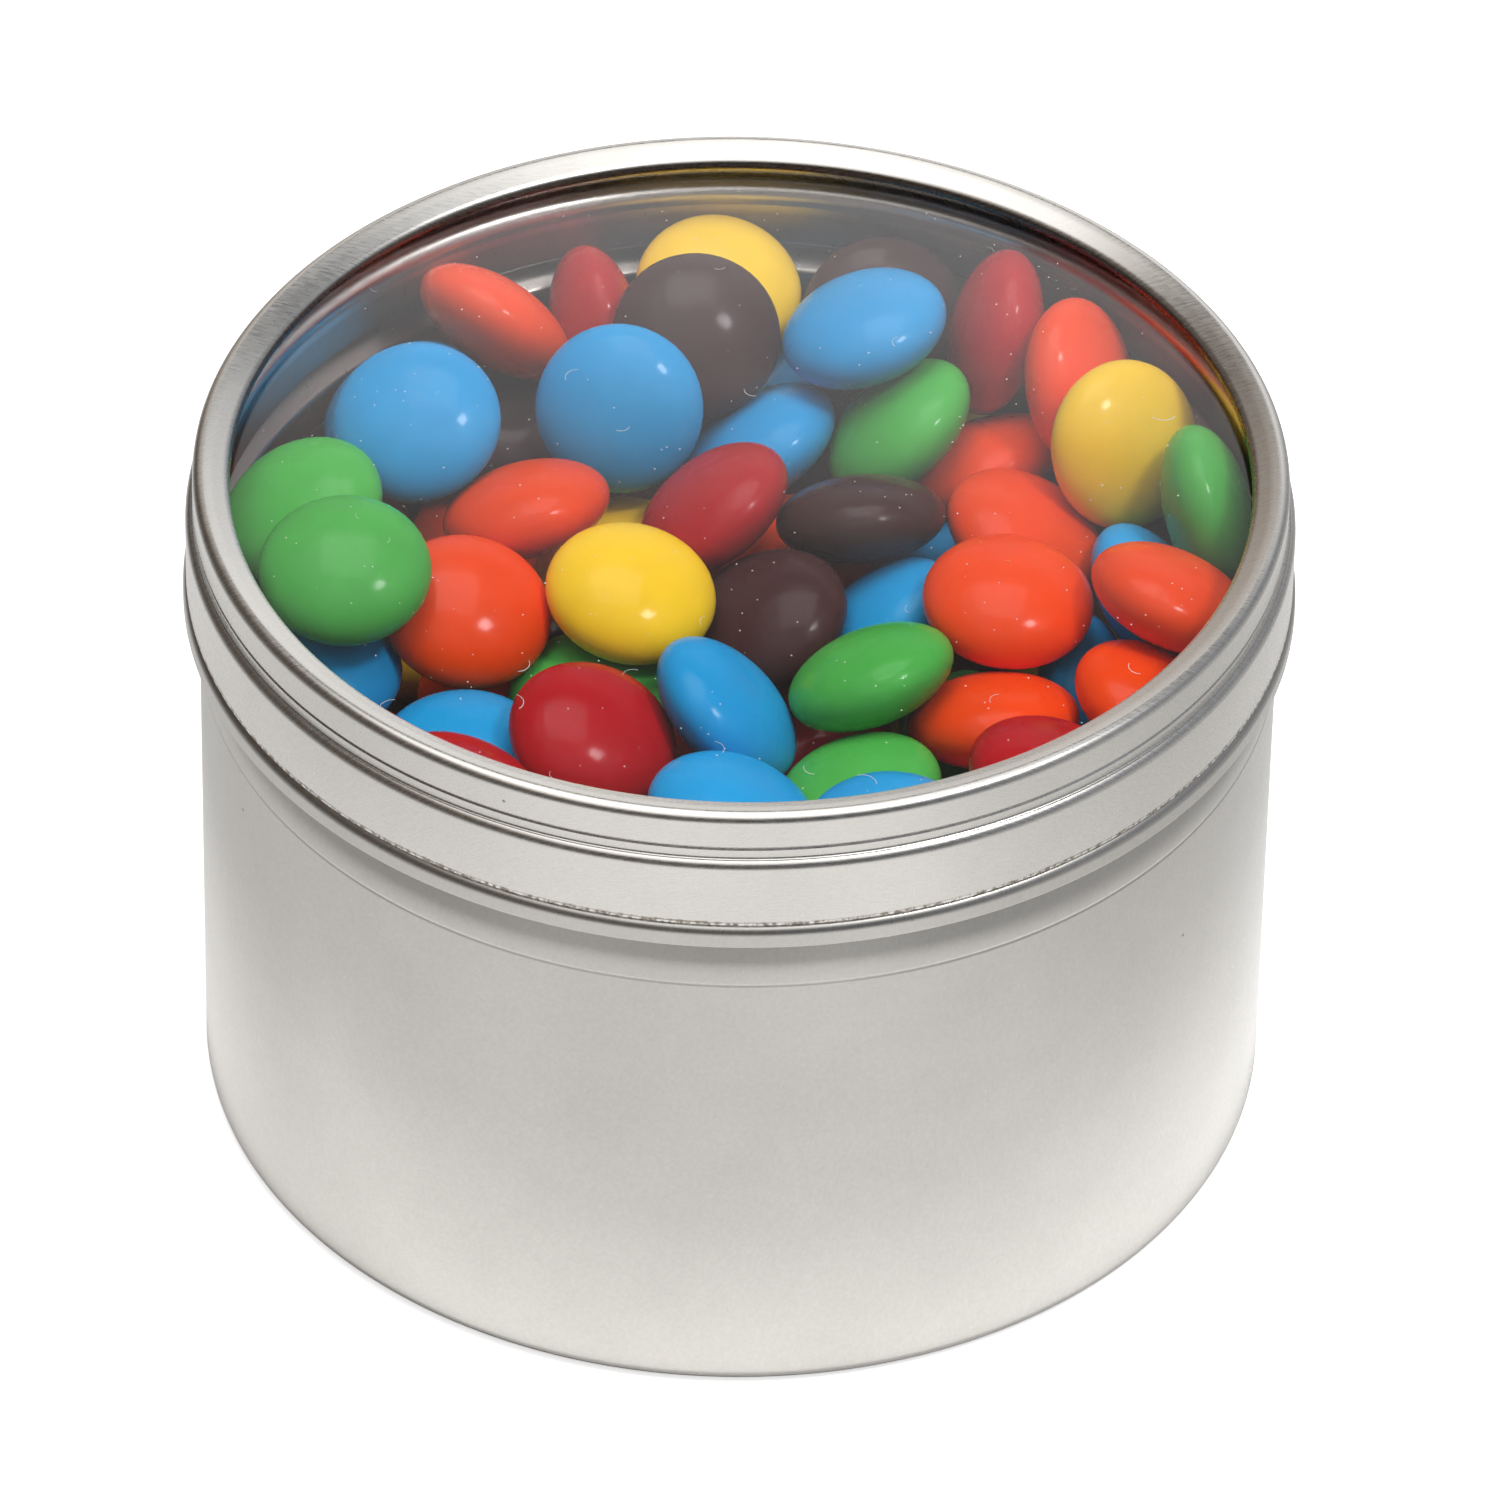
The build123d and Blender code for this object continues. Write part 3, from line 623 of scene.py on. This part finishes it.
both = add("ShaderNodeMixShader", {0: unlit, 1: lit, 2: dark})
tree.links.new(both.outputs[0], tree.nodes["Material Output"].inputs["Surface"])
floor_mesh.materials.append(paper)


# Light tent: bright overhead and low behind, and dark where the camera looks in and above the
# backdrop, so each rolled edge carries a bright line and a dark one. Where it is dim, its left
# is warm and its right is cool. The camera sees it plain white.
world = bpy.data.worlds.new("light_tent")
bpy.context.scene.world = world
world.use_nodes = True
sky = world.node_tree
add_sky = adder(sky)


def joined(first, second, operation="MULTIPLY"):
    """Two values of the tent's tree, multiplied or joined as the operation says."""
    return add_sky("ShaderNodeMath", {0: first, 1: second}, operation=operation).outputs[0]


def across(axis, low, high, to_low, to_high):
    """A strength that changes with one part of the direction, held at its ends."""
    return between(add_sky, direction[axis], low, high, to_low, to_high)


dark_room = 0.09
warm_side, cool_side, white = (0.95, 0.76, 0.62, 1), (0.82, 0.88, 1.0, 1), (1, 1, 1, 1)
outward = add_sky("ShaderNodeTexCoord").outputs["Generated"]
direction = add_sky("ShaderNodeSeparateXYZ", {0: outward}).outputs
behind = across("Y", -0.15, 0.25, 0.0, 1.0)
before = across("Y", -0.15, 0.25, 1.0, 0.0)
overhead = joined(across("Z", 0.80, 0.86, 0.0, 1.5), across("X", 0.12, 0.38, 1.0, 0.32))
front_panel = joined(across("Z", 0.60, 0.68, 0.0, 1.0), across("X", -0.70, -0.40, 0.0, 1.0))
front_panel = joined(front_panel, before)
backdrop_height = joined(across("Z", 0.575, 0.605, 0.85, 1.25), across("Z", 0.607, 0.634, 1.0, 0.0))
backdrop_width = joined(across("X", -0.60, 0.06, 0.0, 1.0), across("X", 0.28, 0.85, 1.0, 0.0))
backdrop = joined(joined(backdrop_height, behind), backdrop_width)
right_wall = across("X", 0.45, 0.85, 0.0, 0.18)
high_panels = joined(overhead, front_panel, "MAXIMUM")
low_panels = joined(backdrop, right_wall, "MAXIMUM")
tent = joined(joined(high_panels, low_panels, "MAXIMUM"), dark_room, "ADD")
to_camera = add_sky("ShaderNodeLightPath").outputs["Is Camera Ray"]
strength = add_sky("ShaderNodeMix", {"Factor": to_camera, 2: tent, 3: 1.0}).outputs[0]
side_tone = add_sky("ShaderNodeMix", {"Factor": across("X", -0.3, 0.3, 0.0, 1.0), 6: warm_side,
                                      7: cool_side}, data_type="RGBA").outputs[2]
tint = add_sky("ShaderNodeMix", {"Factor": strength, 6: side_tone, 7: white},
               data_type="RGBA").outputs[2]
sky.links.new(tint, sky.nodes["Background"].inputs["Color"])
sky.links.new(strength, sky.nodes["Background"].inputs["Strength"])


# Lamps: a wide softbox above, which lights but isn't mirrored, and a small hard key from the
# front right, which also gives each sweet its bright spot.
lamps = (("top_softbox", (0.0, 0.2, 1.3), (0, 0, 0.03), 0.8, 7.0),
         ("small_key", (0.45, -0.25, 0.95), (0, 0, 0.05), 0.16, 3.6))
for name, place, aim, size, power in lamps:
    data = bpy.data.lights.new(name, "AREA")
    data.shape = "SQUARE"
    data.size = size
    data.energy = power
    lamp = bpy.data.objects.new(name, data)
    lamp.location = place
    lamp.rotation_euler = (Vector(aim) - Vector(place)).to_track_quat("-Z", "Y").to_euler()
    bpy.context.scene.collection.objects.link(lamp)
    lamp.visible_glossy = name == "small_key"


# Camera: a long lens about a metre away, looking down by some 40 degrees and a little rolled,
# as the photograph was taken. Its view transform is the plain one.
frame_pixels = 1500
focal_pixels = 12657
camera_distance = 0.995611
camera_elevation = 0.695
camera_roll = 0.019
camera_target = Vector((0.001077, 0, 0.02898))
eye = bpy.data.cameras.new("photograph")
eye.sensor_width = 36
eye.lens = focal_pixels / frame_pixels * eye.sensor_width
eye.clip_start = 0.01
camera = bpy.data.objects.new("photograph", eye)
back = Vector((0, -math.cos(camera_elevation), math.sin(camera_elevation)))
right = Vector((1, 0, 0))
up = back.cross(right)
rolled_right = right * math.cos(camera_roll) + up * math.sin(camera_roll)
rolled_up = up * math.cos(camera_roll) - right * math.sin(camera_roll)
turn = Matrix((rolled_right, rolled_up, back)).transposed().to_4x4()
camera.matrix_world = Matrix.Translation(camera_target + back * camera_distance) @ turn
bpy.context.scene.collection.objects.link(camera)
bpy.context.scene.camera = camera
bpy.context.scene.view_settings.view_transform = "Standard"
